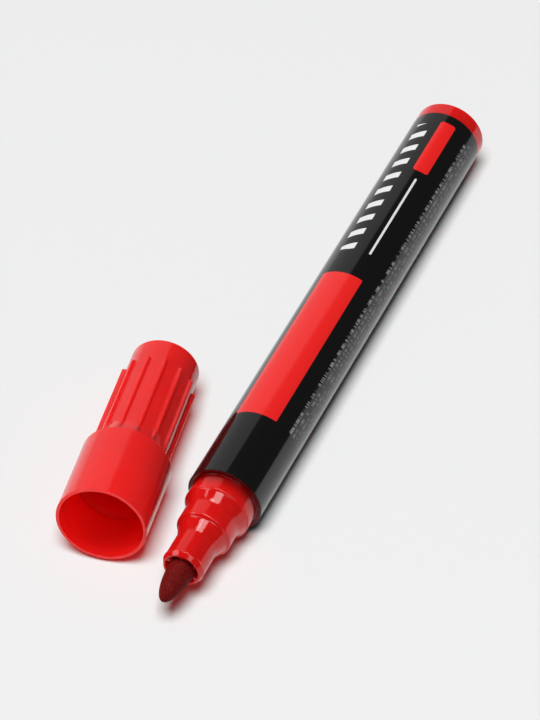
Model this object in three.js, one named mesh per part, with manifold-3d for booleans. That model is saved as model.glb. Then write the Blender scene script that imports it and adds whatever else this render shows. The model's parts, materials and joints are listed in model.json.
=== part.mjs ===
/**
 * A bullet-tip permanent marker with its cap taken off and laid beside it.
 *
 * Millimetres, +Z up. The marker lies along X on the plane z = 0 with its nib towards -X.
 * Stations along the marker are measured from the front rim of the barrel: the nozzle and the
 * nib have negative stations, the barrel and its plug positive ones. Stations along the cap are
 * measured from its mouth towards its closed end.
 */
import * as THREE from "three";
import { mergeVertices } from "three/addons/utils/BufferGeometryUtils.js";
import Module from "manifold-3d";

const wasm = await Module();
wasm.setup();

// Clearances
const pressGap = 0.03; // radial gap of a pressed, snapped or wrapped fit
const slideGap = 0.3; // gap where a piece is dropped in, or stops short of its seat
const fibreGap = 0.1; // gap round the nib in the fibre and between the teeth

// Printed film and the tube under it
const filmRadius = 7.0;
const filmThickness = 0.15;
const barrelLength = 105.0;
const barrelWall = 1.0;
const barrelRibCount = 6;
const barrelRibWidth = 0.8;
const barrelRibHeight = 0.4;
const barrelRibMargin = 3.0; // from a rib's end to the spigot that it stops short of

// Nozzle: flange, collar, neck and snout, from the barrel to the tip
const flangeThickness = 0.12;
const flangeFillet = 0.66;
const collarRadius = 6.12;
const collarReach = 3.5;
const collarEdge = 0.7;
const collarDrop = 0.22; // from the collar's radius down to the start of the cone before it
const neckRadius = 5.1;
const neckStart = 5.6;
const neckReach = 9.1;
const neckEdge = 0.5;
const neckDrop = 0.42; // from the neck's radius down to the start of the cone before it
const shoulderLength = 0.1;
const snoutRadius = 3.78;
const snoutStart = 11.9;
const snoutReach = 18.2;
const lipHeight = 0.05;
const lipWidth = 0.7;
const rimRadius = 3.48;
const rimChamfer = 0.3;
const boreRadius = 3.0;
const boreLength = 12.5;
const toothCount = 6;
const toothWidth = 1.0;
const toothTipWidth = 0.4;
const toothSetback = 0.15;
const spigotLength = 8.0;
const spigotWall = 1.0;
const spigotChamfer = 0.4;
const snapStation = 4.5;
const snapHeight = 0.2;
const snapWidth = 1.2;

// Nib
const nibRadius = 2.4;
const nibReach = 7.7; // from the nozzle's mouth to the nib's point
const nibOgive = 8.5;
const nibDepth = 6.0; // how far its tail goes into the reservoir
const nibTailChamfer = 0.6;

// Ink reservoir and the skin rolled round it
const reservoirRadius = 5.1;
const wrapThickness = 0.12;

// Tail plug
const plugHead = 3.34;
const plugHeadInset = 0.05; // how far the head's radius stays under the film's
const plugEdge = 0.5;
const plugSpigot = 7.0;
const plugWall = 1.0;
const plugFloor = 1.5;
const plugFinThickness = 1.0;
const plugFinReach = 1.2;
const gateRadius = 1.5; // shallow dimple where the plastic entered the mould
const gateDepth = 0.3;

// Cap
const capLength = 43.0;
const capMouthRadius = 8.19;
const capMouthBore = 7.38;
const capMouthEdge = 0.3;
const capRingStation = 16.4;
const capRingRadius = 8.23;
const capWall = 1.06;
const capConeLength = 3.8;
const capConeFillet = 1.5;
const capSlimRadius = 6.5;
const capEndRadius = 6.41;
const capEndEdge = 0.5;
const capEndWall = 1.2;

// Grip ribs on the cap
const gripCount = 14;
const gripWidth = 0.75;
const gripTipRadius = 7.09;
const gripEnd = 37.6;
const gripEdge = 0.15;

// Liner inside the cap
const linerStation = 9.17; // where its front step lies, which rests on the barrel's rim
const linerFlange = 1.1;
const linerWall = 0.7;
const linerSeal = 0.05; // gap between its bore and the nozzle's collar
const linerLeadIn = 0.75;
const linerEndGap = 3.83; // from its closed end to the floor of the cap
const linerDome = 1.5;

// Where the cap lies: its mouth from the front rim of the barrel, and its heading from +X
const capMouthX = -15.63;
const capMouthY = 16.38;
const capHeading = THREE.MathUtils.degToRad(9.75);

// Facets
const roundFacets = 48;
const linerFacets = 36;
const capFacets = 4 * gripCount;
const fineStep = Math.PI / 6; // largest turn of one facet in a rounding
const mergeTolerance = 1e-5;

const colours = {
  filmBlack: { color: 0x1e1c1c, roughness: 0.22, metalness: 0 },
  tubeBlack: { color: 0x262424, roughness: 0.4, metalness: 0 },
  inkRed: { color: 0xd11a1c, roughness: 0.25, metalness: 0 },
  capRed: { color: 0xe02022, roughness: 0.25, metalness: 0 },
  linerRed: { color: 0xc81416, roughness: 0.4, metalness: 0 },
  nibRed: { color: 0x641416, roughness: 0.85, metalness: 0 },
  fibreRed: { color: 0x8c1a1c, roughness: 0.95, metalness: 0 },
  clearSkin: { color: 0xe6e0dc, roughness: 0.3, metalness: 0 },
};

/** A corner of an outline: its station, its radius from the axis, and how far it is rounded. */
const corner = (station, radius, rounding = 0) => ({ station, radius, rounding });

/**
 * The points of an outline whose corners are rounded by arcs. An arc is limited by the two
 * edges that it joins, so that it never eats more than half of either.
 */
function roundedOutline(corners, closed) {
  const places = corners.map(({ station, radius }) => new THREE.Vector2(radius, station));
  const count = corners.length;
  return corners.flatMap(({ rounding }, index) => {
    const here = places[index];
    const atEnd = !closed && (index === 0 || index === count - 1);
    if (rounding === 0 || atEnd) {
      return [here];
    }
    const back = places[(index + count - 1) % count].clone().sub(here);
    const ahead = places[(index + 1) % count].clone().sub(here);
    const room = 0.49 * Math.min(back.length(), ahead.length());
    back.normalize();
    ahead.normalize();
    const half = 0.5 * Math.acos(THREE.MathUtils.clamp(back.dot(ahead), -1, 1));
    const reach = Math.min(rounding / Math.tan(half), room);
    const radius = reach * Math.tan(half);
    const middle = back.clone().add(ahead).normalize();
    const centre = here.clone().addScaledVector(middle, radius / Math.sin(half));
    const start = here.clone().addScaledVector(back, reach).sub(centre).angle();
    const sweep = Math.sign(ahead.cross(back)) * (Math.PI - 2 * half);
    const steps = Math.max(1, Math.ceil(Math.abs(sweep) / fineStep));
    return Array.from({ length: steps + 1 }, (_, step) => {
      const angle = start + (sweep * step) / steps;
      return new THREE.Vector2(Math.cos(angle), Math.sin(angle)).multiplyScalar(radius).add(centre);
    });
  });
}

/** Keeps only positions, shared by their triangles, and drops triangles without an area. */
function bareMesh(geometry) {
  const bare = geometry.clone();
  bare.deleteAttribute("normal");
  bare.deleteAttribute("uv");
  const merged = mergeVertices(bare, mergeTolerance);
  const corners = merged.index.array;
  const kept = [];
  for (let at = 0; at < corners.length; at += 3) {
    const [a, b, c] = [corners[at], corners[at + 1], corners[at + 2]];
    if (a !== b && b !== c && c !== a) {
      kept.push(a, b, c);
    }
  }
  merged.setIndex(kept);
  return merged;
}

/** A revolved piece along +X. A closed outline goes round a hollow, an open one ends on the axis. */
function turned(corners, { closed = false, facets = roundFacets } = {}) {
  const outline = roundedOutline(corners, closed);
  if (closed) {
    outline.push(outline[0].clone());
  }
  const lathe = new THREE.LatheGeometry(outline, facets);
  lathe.rotateZ(-Math.PI / 2);
  return bareMesh(lathe);
}

/** A plate of equal depth cut from an outline in Y and Z and standing along +X. */
function extrudedAlongX(shape, from, to) {
  const geometry = new THREE.ExtrudeGeometry(shape, { depth: to - from, bevelEnabled: false });
  geometry.rotateX(Math.PI / 2);
  geometry.rotateZ(Math.PI / 2);
  geometry.translate(from, 0, 0);
  return bareMesh(geometry);
}

/** A box between two stations, so wide in Y, and between two heights in Z. */
function bar(from, to, width, low, high) {
  const geometry = new THREE.BoxGeometry(to - from, width, high - low);
  geometry.translate((from + to) / 2, 0, (low + high) / 2);
  return bareMesh(geometry);
}

/** The same geometry repeated evenly round the X axis. */
function roundX(geometry, count, firstAngle = 0) {
  return Array.from({ length: count }, (_, index) =>
    geometry.clone().rotateX(firstAngle + (2 * Math.PI * index) / count),
  );
}

/** Turns a closed geometry into a solid that can be joined and cut. */
function solid(geometry) {
  const bare = bareMesh(geometry);
  const vertProperties = new Float32Array(bare.attributes.position.array);
  const triVerts = new Uint32Array(bare.index.array);
  return new wasm.Manifold(new wasm.Mesh({ numProp: 3, vertProperties, triVerts }));
}

/** Turns a joined or cut solid back into a geometry. */
function surface(body) {
  const { vertProperties, triVerts } = body.getMesh();
  const geometry = new THREE.BufferGeometry();
  geometry.setAttribute("position", new THREE.BufferAttribute(vertProperties, 3));
  geometry.setIndex([...triVerts]);
  geometry.computeVertexNormals();
  return geometry;
}

/** One geometry with others joined to it. */
function joined(base, additions) {
  return surface(additions.reduce((body, piece) => body.add(solid(piece)), solid(base)));
}

/** A named sub-part with its own material. */
function piece(name, geometry, finish) {
  geometry.computeVertexNormals();
  const mesh = new THREE.Mesh(geometry, new THREE.MeshStandardMaterial(finish));
  mesh.name = name;
  return mesh;
}

// What fits together takes its size from the same values
const barrelRadius = filmRadius - filmThickness - pressGap;
const barrelBore = barrelRadius - barrelWall;
const spigotRadius = barrelBore - pressGap;
const plugFront = barrelLength - plugSpigot;
const nibPoint = -snoutReach - nibReach;
const reservoirFront = spigotLength + slideGap;
const reservoirBack = plugFront - plugFinReach - slideGap;
const nibTail = reservoirFront + nibDepth;

/** Corners of a snap bead or of the groove that takes it, going towards the tail. */
function snapCorners(station, radius, width, height) {
  return [
    corner(station - width / 2, radius),
    corner(station - width / 6, radius + height),
    corner(station + width / 6, radius + height),
    corner(station + width / 2, radius),
  ];
}

/** The printed film wrapped round the barrel. */
function makeFilm() {
  const bore = filmRadius - filmThickness;
  return turned(
    [corner(0, bore), corner(0, filmRadius), corner(barrelLength, filmRadius), corner(barrelLength, bore)],
    { closed: true },
  );
}

/** The barrel: a tube with a snap groove at each end and ribs that centre the reservoir. */
function makeBarrel() {
  const groove = (station) => snapCorners(station, barrelBore, snapWidth, snapHeight).reverse();
  const tube = turned(
    [
      corner(0, barrelBore),
      corner(0, barrelRadius),
      corner(barrelLength, barrelRadius),
      corner(barrelLength, barrelBore),
      ...groove(barrelLength - snapStation),
      ...groove(snapStation),
    ],
    { closed: true },
  );
  const ribRoot = barrelBore + barrelWall / 2;
  const rib = bar(
    spigotLength + barrelRibMargin,
    plugFront - barrelRibMargin,
    barrelRibWidth,
    barrelBore - barrelRibHeight,
    ribRoot,
  );
  return joined(tube, roundX(rib, barrelRibCount));
}

/** The nozzle's bore with its teeth, one of them upright: a round hole with notches left standing in it. */
function toothedBore() {
  const shape = new THREE.Shape();
  const tipRadius = nibRadius + fibreGap;
  const pitch = (2 * Math.PI) / toothCount;
  const firstTooth = Math.PI / 2;
  const rootAngle = Math.asin(toothWidth / 2 / boreRadius);
  const tipAngle = Math.asin(toothTipWidth / 2 / tipRadius);
  const place = (radius, angle) => [radius * Math.cos(angle), radius * Math.sin(angle)];
  shape.moveTo(...place(boreRadius, firstTooth + rootAngle));
  for (let tooth = 1; tooth <= toothCount; tooth += 1) {
    const middle = firstTooth + tooth * pitch;
    shape.absarc(0, 0, boreRadius, middle - pitch + rootAngle, middle - rootAngle, false);
    shape.lineTo(...place(tipRadius, middle - tipAngle));
    shape.lineTo(...place(tipRadius, middle + tipAngle));
    if (tooth < toothCount) {
      shape.lineTo(...place(boreRadius, middle + rootAngle));
    }
  }
  return shape;
}

/** The stepped nozzle, from its rounded mouth to the spigot that snaps into the barrel. */
function makeNozzle() {
  const innerRadius = spigotRadius - spigotWall;
  const boreEnd = -snoutReach + boreLength;
  const outside = [
    corner(-snoutReach, rimRadius),
    corner(-snoutReach + rimChamfer, snoutRadius + lipHeight),
    corner(-snoutReach + rimChamfer + lipWidth, snoutRadius + lipHeight),
    corner(-snoutReach + rimChamfer + lipWidth + 2 * lipHeight, snoutRadius),
    corner(-snoutStart, snoutRadius),
    corner(-neckReach - shoulderLength, neckRadius - neckDrop),
    corner(-neckReach, neckRadius, neckEdge),
    corner(-neckStart, neckRadius),
    corner(-collarReach - shoulderLength, collarRadius - collarDrop),
    corner(-collarReach, collarRadius, collarEdge),
    corner(-flangeThickness, collarRadius, flangeFillet),
    corner(-flangeThickness, barrelRadius),
    corner(0, barrelRadius),
    corner(0, spigotRadius),
    ...snapCorners(snapStation, spigotRadius, snapWidth - 2 * pressGap, snapHeight - pressGap),
    corner(spigotLength - spigotChamfer, spigotRadius),
    corner(spigotLength, spigotRadius - spigotChamfer),
  ];
  const inside = [
    corner(spigotLength, innerRadius),
    corner(boreEnd + (innerRadius - boreRadius), innerRadius),
  ];
  const floor = [corner(boreEnd, 0)];
  const blank = turned([corner(-snoutReach, 0), ...outside, ...inside, corner(boreEnd, boreRadius), ...floor]);
  const mouth = turned([
    corner(-snoutReach - 1, 0),
    corner(-snoutReach - 1, boreRadius + toothSetback + 1),
    corner(-snoutReach + toothSetback, boreRadius),
    corner(-snoutReach + toothSetback, 0),
  ]);
  const bore = extrudedAlongX(toothedBore(), -snoutReach - 1, boreEnd + 1);
  return surface(solid(blank).subtract(solid(bore)).subtract(solid(mouth)));
}

/** The fibre nib: a rod with a chamfered tail and an elliptical point. */
function makeNib() {
  const steps = 9;
  const point = Array.from({ length: steps }, (_, index) => {
    const angle = (index / (steps - 1)) * (Math.PI / 2);
    return corner(nibPoint + nibOgive * (1 - Math.cos(angle)), nibRadius * Math.sin(angle));
  });
  return turned([
    ...point,
    corner(nibTail - nibTailChamfer, nibRadius),
    corner(nibTail, nibRadius - nibTailChamfer),
    corner(nibTail, 0),
  ]);
}

/** The fibre rod that holds the ink, with a pocket for the nib's tail. */
function makeReservoir() {
  const pocket = nibRadius + fibreGap;
  const pocketEnd = nibTail + fibreGap;
  return turned([
    corner(pocketEnd, 0),
    corner(pocketEnd, pocket),
    corner(reservoirFront, pocket),
    corner(reservoirFront, reservoirRadius),
    corner(reservoirBack, reservoirRadius),
    corner(reservoirBack, 0),
  ]);
}

/** The clear skin rolled round the fibre rod. */
function makeWrap() {
  const inner = reservoirRadius + pressGap;
  const outer = inner + wrapThickness;
  return turned(
    [
      corner(reservoirFront, inner),
      corner(reservoirFront, outer),
      corner(reservoirBack, outer),
      corner(reservoirBack, inner),
    ],
    { closed: true },
  );
}

/** The plug: a flush head, a hollow snap spigot and crossed fins that hold the reservoir. */
function makePlug() {
  const headRadius = filmRadius - plugHeadInset;
  const end = barrelLength + plugHead;
  const floor = end - plugFloor;
  const bore = spigotRadius - plugWall;
  const snap = snapCorners(
    barrelLength - snapStation,
    spigotRadius,
    snapWidth - 2 * pressGap,
    snapHeight - pressGap,
  );
  const body = turned([
    corner(floor, 0),
    corner(floor, bore),
    corner(plugFront, bore),
    corner(plugFront, spigotRadius - spigotChamfer),
    corner(plugFront + spigotChamfer, spigotRadius),
    ...snap,
    corner(barrelLength, spigotRadius),
    corner(barrelLength, headRadius),
    corner(end, headRadius, plugEdge),
    corner(end, gateRadius),
    corner(end - gateDepth, gateRadius - gateDepth),
    corner(end - gateDepth, 0),
  ]);
  const finHalf = bore - slideGap;
  const fin = bar(plugFront - plugFinReach, floor + plugFloor / 3, plugFinThickness, -finHalf, finHalf);
  return joined(body, [fin, fin.clone().rotateX(Math.PI / 2)]);
}

// The cap's inner wall, which its liner follows
const capBoreAtRing = capRingRadius - capWall;
const capSlimBore = capSlimRadius - capWall;
const capEndBore = capEndRadius - capWall;
const coneSlope = (capRingRadius - capSlimRadius) / capConeLength;
const capBoreAt = (station) =>
  THREE.MathUtils.mapLinear(station, 0, capRingStation, capMouthBore, capBoreAtRing);

/** The cap's shell with its grip ribs. */
function makeCap() {
  const floor = capLength - capEndWall;
  const shell = turned(
    [
      corner(floor, 0),
      corner(floor, capEndBore, capEndEdge),
      corner(capRingStation + capConeLength, capSlimBore, capConeFillet),
      corner(capRingStation, capBoreAtRing),
      corner(0, capMouthBore, capMouthEdge),
      corner(0, capMouthRadius, capMouthEdge),
      corner(capRingStation, capRingRadius, 0.1),
      corner(capRingStation + capConeLength, capSlimRadius, capConeFillet),
      corner(capLength, capEndRadius, capEndEdge),
      corner(capLength, gateRadius),
      corner(capLength - gateDepth, gateRadius - gateDepth),
      corner(capLength - gateDepth, 0),
    ],
    { facets: capFacets },
  );
  return joined(shell, roundX(gripRib(), gripCount, Math.PI / gripCount));
}

/** One grip rib standing on +Z: it grows out of the cone and ends in a half round. */
function gripRib() {
  const root = capSlimRadius - capWall / 3;
  const start = capRingStation + (capRingRadius - gripTipRadius - gripEdge) / coneSlope;
  const half = gripWidth / 2;
  const plan = new THREE.Shape();
  plan.moveTo(start, -half);
  plan.lineTo(gripEnd - half, -half);
  plan.absarc(gripEnd - half, 0, half, -Math.PI / 2, Math.PI / 2, false);
  plan.lineTo(start, half);
  plan.closePath();
  const rib = new THREE.ExtrudeGeometry(plan, {
    depth: gripTipRadius - root - 2 * gripEdge,
    bevelThickness: gripEdge,
    bevelSize: gripEdge,
    bevelOffset: -gripEdge,
    bevelSegments: 1,
    curveSegments: 4,
  });
  rib.translate(0, 0, root + gripEdge);
  return bareMesh(rib);
}

/** The liner: a thin inner cup whose bore seals on the nozzle's collar. */
function makeLiner() {
  const seal = collarRadius + linerSeal;
  const skirt = seal + linerWall;
  const coneStart = capRingStation;
  const coneEnd = capRingStation + capConeLength;
  const slim = capEndBore - slideGap;
  const floor = capLength - capEndWall - linerEndGap - linerWall;
  const flangeEnd = linerStation + linerFlange;
  const flange = capBoreAt(flangeEnd) - pressGap;
  return turned(
    [
      corner(floor, 0),
      corner(floor, slim - linerWall, linerDome),
      corner(coneEnd, slim - linerWall, linerDome),
      corner(coneStart, seal, linerDome),
      corner(linerStation + linerLeadIn, seal),
      corner(linerStation, seal + linerLeadIn),
      corner(linerStation, flange),
      corner(flangeEnd, flange),
      corner(flangeEnd, skirt),
      corner(coneStart, Math.min(skirt, capBoreAtRing - slideGap)),
      corner(coneEnd, slim),
      corner(floor + linerWall, slim, linerDome),
      corner(floor + linerWall, 0),
    ],
    { facets: linerFacets },
  );
}

/** Lays the cap on its ring and its two lowest ribs, which is how it comes to rest. */
function layCap(meshes) {
  const ribFoot = gripTipRadius * Math.cos(Math.PI / gripCount);
  const ribRest = gripEnd - gripWidth;
  const tilted = new THREE.Group();
  tilted.rotation.y = Math.atan2(capRingRadius - ribFoot, ribRest - capRingStation);
  tilted.add(...meshes);
  const cap = new THREE.Group();
  cap.rotation.z = capHeading;
  cap.position.set(capMouthX, capMouthY, 0);
  cap.add(tilted);
  cap.updateMatrixWorld(true);
  cap.position.z = -new THREE.Box3().setFromObject(cap, true).min.z;
  return cap;
}

const marker = new THREE.Group();
marker.add(
  piece("barrel_film", makeFilm(), colours.filmBlack),
  piece("barrel", makeBarrel(), colours.tubeBlack),
  piece("nozzle", makeNozzle(), colours.inkRed),
  piece("nib", makeNib(), colours.nibRed),
  piece("ink_reservoir", makeReservoir(), colours.fibreRed),
  piece("reservoir_wrap", makeWrap(), colours.clearSkin),
  piece("tail_plug", makePlug(), colours.inkRed),
);
marker.position.z = filmRadius;

const part = new THREE.Group();
part.add(
  marker,
  layCap([piece("cap", makeCap(), colours.capRed), piece("cap_liner", makeLiner(), colours.linerRed)]),
);

// The origin is the centre of the base of the box round the marker and its cap
part.updateMatrixWorld(true);
const box = new THREE.Box3().setFromObject(part, true);
const middle = box.getCenter(new THREE.Vector3());
part.position.set(-middle.x, -middle.y, -box.min.z);
part.updateMatrixWorld(true);

export default part;
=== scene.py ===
"""A bullet-tip permanent marker with its ribbed cap off, dressed for a studio picture.

The marker lies along X with its nib towards -X, and the cap lies beside it. Every piece that
shows is worked out here as a fine surface in the place of its plain solid. Sizes are in
millimetres until a surface is built, and stations run along the axis of a turned piece: from the
front rim of the barrel towards its tail, and from the mouth of the cap towards its closed end.
"""

import json
import logging
import math
from abc import ABC, abstractmethod
from collections.abc import Callable, Sequence
from dataclasses import dataclass
from enum import Enum
from typing import ClassVar

import bpy
import numpy as np
from bpy.types import Collection, Material, Node, NodeSocket, Object
from mathutils import Matrix, Vector

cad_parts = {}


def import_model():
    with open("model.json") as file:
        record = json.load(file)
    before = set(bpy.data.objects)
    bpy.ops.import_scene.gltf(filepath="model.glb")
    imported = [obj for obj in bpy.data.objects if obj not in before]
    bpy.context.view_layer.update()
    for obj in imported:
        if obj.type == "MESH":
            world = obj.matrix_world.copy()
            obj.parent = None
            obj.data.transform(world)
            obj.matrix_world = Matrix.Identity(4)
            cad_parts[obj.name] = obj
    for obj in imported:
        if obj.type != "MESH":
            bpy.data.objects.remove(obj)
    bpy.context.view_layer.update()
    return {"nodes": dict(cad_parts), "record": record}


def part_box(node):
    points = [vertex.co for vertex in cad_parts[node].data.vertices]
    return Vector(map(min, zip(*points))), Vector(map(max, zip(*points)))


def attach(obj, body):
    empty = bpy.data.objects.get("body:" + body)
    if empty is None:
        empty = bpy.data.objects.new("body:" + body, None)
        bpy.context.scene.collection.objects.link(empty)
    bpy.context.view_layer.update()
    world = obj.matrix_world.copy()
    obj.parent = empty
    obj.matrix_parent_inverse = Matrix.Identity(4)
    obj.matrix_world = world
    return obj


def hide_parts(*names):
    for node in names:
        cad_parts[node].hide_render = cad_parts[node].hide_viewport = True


LOG = logging.getLogger("marker")
MM = 0.001
UP = Vector((0.0, 0.0, 1.0))

# The roundings of moulded edges that have none of their own and the gap under which two radii are
# one, in millimetres, the share of an edge that a rounding may take, the step of its arc, and the
# angle from which an edge is shaded sharp.
SOFT = 0.1
CRISP = 0.05
TOUCH = 0.01
ROOM = 0.49
ARC_STEP = math.radians(9)
SHARP = math.radians(42)

Pair = tuple[float, float]
Triple = tuple[float, float, float]
Colour = tuple[float, float, float, float]
Paint = Colour | NodeSocket
Number = "Signal | NodeSocket | float"


class Body(Enum):
    """The two bodies that a piece can ride on."""

    MARKER = "marker"
    CAP = "cap"


class Slot(Enum):
    """The material slots of the pieces that stand for nodes."""

    FILM = "film"
    NOZZLE = "nozzle"
    NIB = "nib"
    PLUG = "plug"
    CAP = "cap"
    LINER = "liner"


class Target(Enum):
    """What a light falls on."""

    OBJECT = "object"
    CAP = "cap"
    FLOOR = "floor"


class Passes(Enum):
    """The pieces that a light goes through."""

    NONE = "none"
    CAP = "cap"
    REDS = "reds"


class Ink(Enum):
    """The inks of the printed film, as linear colours."""

    BLACK = (0.0052, 0.0048, 0.0048, 1.0)
    RED = (0.83, 0.017, 0.015, 1.0)
    WHITE = (0.80, 0.79, 0.79, 1.0)


def grey(level: float) -> Colour:
    """A neutral linear colour of that level."""
    return (level, level, level, 1.0)


class Signal:
    """A number that varies over a surface. An operator on it adds a Math node to its recipe."""

    def __init__(self, recipe: "Recipe", socket: NodeSocket) -> None:
        """Wraps one output socket of a recipe's node."""
        self.recipe = recipe
        self.socket = socket

    def math(self, operation: str, *values: Number) -> "Signal":
        """The result of a Math node with that operation on these values."""
        node = self.recipe.node("Math", {"operation": operation}, dict(enumerate(values)))
        return Signal(self.recipe, node.outputs[0])

    def __add__(self, other: Number) -> "Signal":
        """This and another number together."""
        return self.math("ADD", self, other)

    def __radd__(self, other: Number) -> "Signal":
        """Another number and this together."""
        return self.math("ADD", other, self)

    def __sub__(self, other: Number) -> "Signal":
        """This less another number."""
        return self.math("SUBTRACT", self, other)

    def __rsub__(self, other: Number) -> "Signal":
        """Another number less this."""
        return self.math("SUBTRACT", other, self)

    def __mul__(self, other: Number) -> "Signal":
        """This times another number."""
        return self.math("MULTIPLY", self, other)

    def __rmul__(self, other: Number) -> "Signal":
        """Another number times this."""
        return self.math("MULTIPLY", other, self)

    def __truediv__(self, other: Number) -> "Signal":
        """This over another number."""
        return self.math("DIVIDE", self, other)

    def __abs__(self) -> "Signal":
        """This without its sign."""
        return self.math("ABSOLUTE", self)

    def at_least(self, other: Number) -> "Signal":
        """The larger of this and another number."""
        return self.math("MAXIMUM", self, other)

    def at_most(self, other: Number) -> "Signal":
        """The smaller of this and another number."""
        return self.math("MINIMUM", self, other)

    def floor(self) -> "Signal":
        """The whole number under this."""
        return self.math("FLOOR", self)

    def fraction(self) -> "Signal":
        """What this has past the whole number under it."""
        return self.math("FRACT", self)

    def root(self) -> "Signal":
        """The square root of this."""
        return self.math("SQRT", self)

    def ramp(self, start: float, end: float) -> "Signal":
        """Goes smoothly from 0 where this is the start to 1 where it is the end.

        Args:
            start: The value that gives 0.
            end: The value that gives 1, which may be the lower one.

        Returns:
            The ramp.
        """
        values = {"Value": self, "From Min": start, "From Max": end}
        node = self.recipe.node("MapRange", {"interpolation_type": "SMOOTHSTEP"}, values)
        return Signal(self.recipe, node.outputs["Result"])


class Recipe:
    """The nodes of one material."""

    def __init__(self, name: str) -> None:
        """Starts an empty material of that name.

        Args:
            name: The material's name.
        """
        self.material = bpy.data.materials.new(name)
        self.material.use_nodes = True
        self.tree = self.material.node_tree
        self.tree.nodes.clear()

    def node(self, kind: str, settings: dict | None = None, inputs: dict | None = None) -> Node:
        """Adds one node.

        Args:
            kind: The node's type without its ShaderNode.
            settings: Properties that are set first.
            inputs: What each socket takes, by name or number: a signal, a socket or a value.

        Returns:
            The new node.
        """
        node = self.tree.nodes.new("ShaderNode" + kind)
        for name, value in (settings or {}).items():
            setattr(node, name, value)
        for name, value in (inputs or {}).items():
            source = value.socket if isinstance(value, Signal) else value
            if isinstance(source, NodeSocket):
                self.tree.links.new(source, node.inputs[name])
            else:
                node.inputs[name].default_value = source
        return node

    def spot(self) -> NodeSocket:
        """The place of a point of the surface, in metres."""
        return self.node("TexCoord").outputs["Object"]

    def place(self) -> tuple[Signal, Signal, Signal]:
        """The X, Y and Z of a point of the surface, in metres."""
        parts = self.node("SeparateXYZ", inputs={0: self.spot()}).outputs
        return tuple(Signal(self, part) for part in parts)

    def vector(self, operation: str, *values: NodeSocket | Triple, result: int | str = 0) -> NodeSocket:
        """One result of a Vector Math node with that operation on these values."""
        return self.node("VectorMath", {"operation": operation}, dict(enumerate(values))).outputs[result]

    def place_round(self, axis: "Axis") -> tuple[Signal, Signal]:
        """Where a point of the surface lies round an axis.

        The station is the dot product of the way from the axis's start to the point with the
        axis's direction, and the distance from the axis is the length of their cross product.

        Args:
            axis: The axis.

        Returns:
            The station and the distance, in millimetres.
        """
        along = tuple(axis.along)
        way = self.vector("SUBTRACT", self.spot(), tuple(axis.start))
        station = self.vector("DOT_PRODUCT", way, along, result="Value")
        distance = self.vector("LENGTH", self.vector("CROSS_PRODUCT", way, along), result="Value")
        return Signal(self, station) * (1 / MM), Signal(self, distance) * (1 / MM)

    def stretched(self, scale: Triple, turn: Triple = (0.0, 0.0, 0.0)) -> NodeSocket:
        """The place of a point, turned about X, Y and Z in radians and then scaled."""
        turned = self.node("Mapping", inputs={"Vector": self.spot(), "Rotation": turn}).outputs[0]
        return self.node("Mapping", inputs={"Vector": turned, "Scale": scale}).outputs[0]

    def noise(self, vector: NodeSocket, scale: float, detail: float, roughness: float) -> Signal:
        """Noise of that scale about 0.5, with that much fine detail."""
        inputs = {"Vector": vector, "Scale": scale, "Detail": detail, "Roughness": roughness}
        return Signal(self, self.node("TexNoise", inputs=inputs).outputs[0])

    def grain(self, scale: float, detail: float, roughness: float, length: float = 1.0) -> Signal:
        """Noise about 0.5 over a whole piece, drawn out along X by a length under 1."""
        return self.noise(self.stretched((length, 1.0, 1.0)), scale, detail, roughness)

    def chance(self, cell: Signal) -> Signal:
        """An even random number for each number of a cell."""
        node = self.node("TexWhiteNoise", {"noise_dimensions": "1D"}, {"W": cell})
        return Signal(self, node.outputs["Value"])

    def mix(self, share: Number, first: Paint, second: Paint) -> NodeSocket:
        """A colour between two others, by the share that the second one has."""
        return self.node("Mix", {"data_type": "RGBA"}, {0: share, 6: first, 7: second}).outputs[2]

    def bump(self, height: Signal, depth: float, under: NodeSocket | None = None) -> NodeSocket:
        """Relief of a surface.

        Args:
            height: The height, from 0 to 1.
            depth: How high 1 is, in millimetres.
            under: The normal that this relief lies on.

        Returns:
            The socket of the new normal.
        """
        inputs = {"Height": height, "Distance": depth * MM, "Strength": 1.0}
        if under is not None:
            inputs["Normal"] = under
        return self.node("Bump", inputs=inputs).outputs[0]

    def finish(self, **inputs: object) -> Material:
        """Ends the recipe in one shader.

        Args:
            inputs: The shader's sockets, with _ for a space in their names.

        Returns:
            The material.
        """
        named = {name.replace("_", " "): value for name, value in inputs.items()}
        shader = self.node("BsdfPrincipled", inputs=named)
        self.node("OutputMaterial", inputs={"Surface": shader.outputs[0]})
        return self.material


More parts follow.
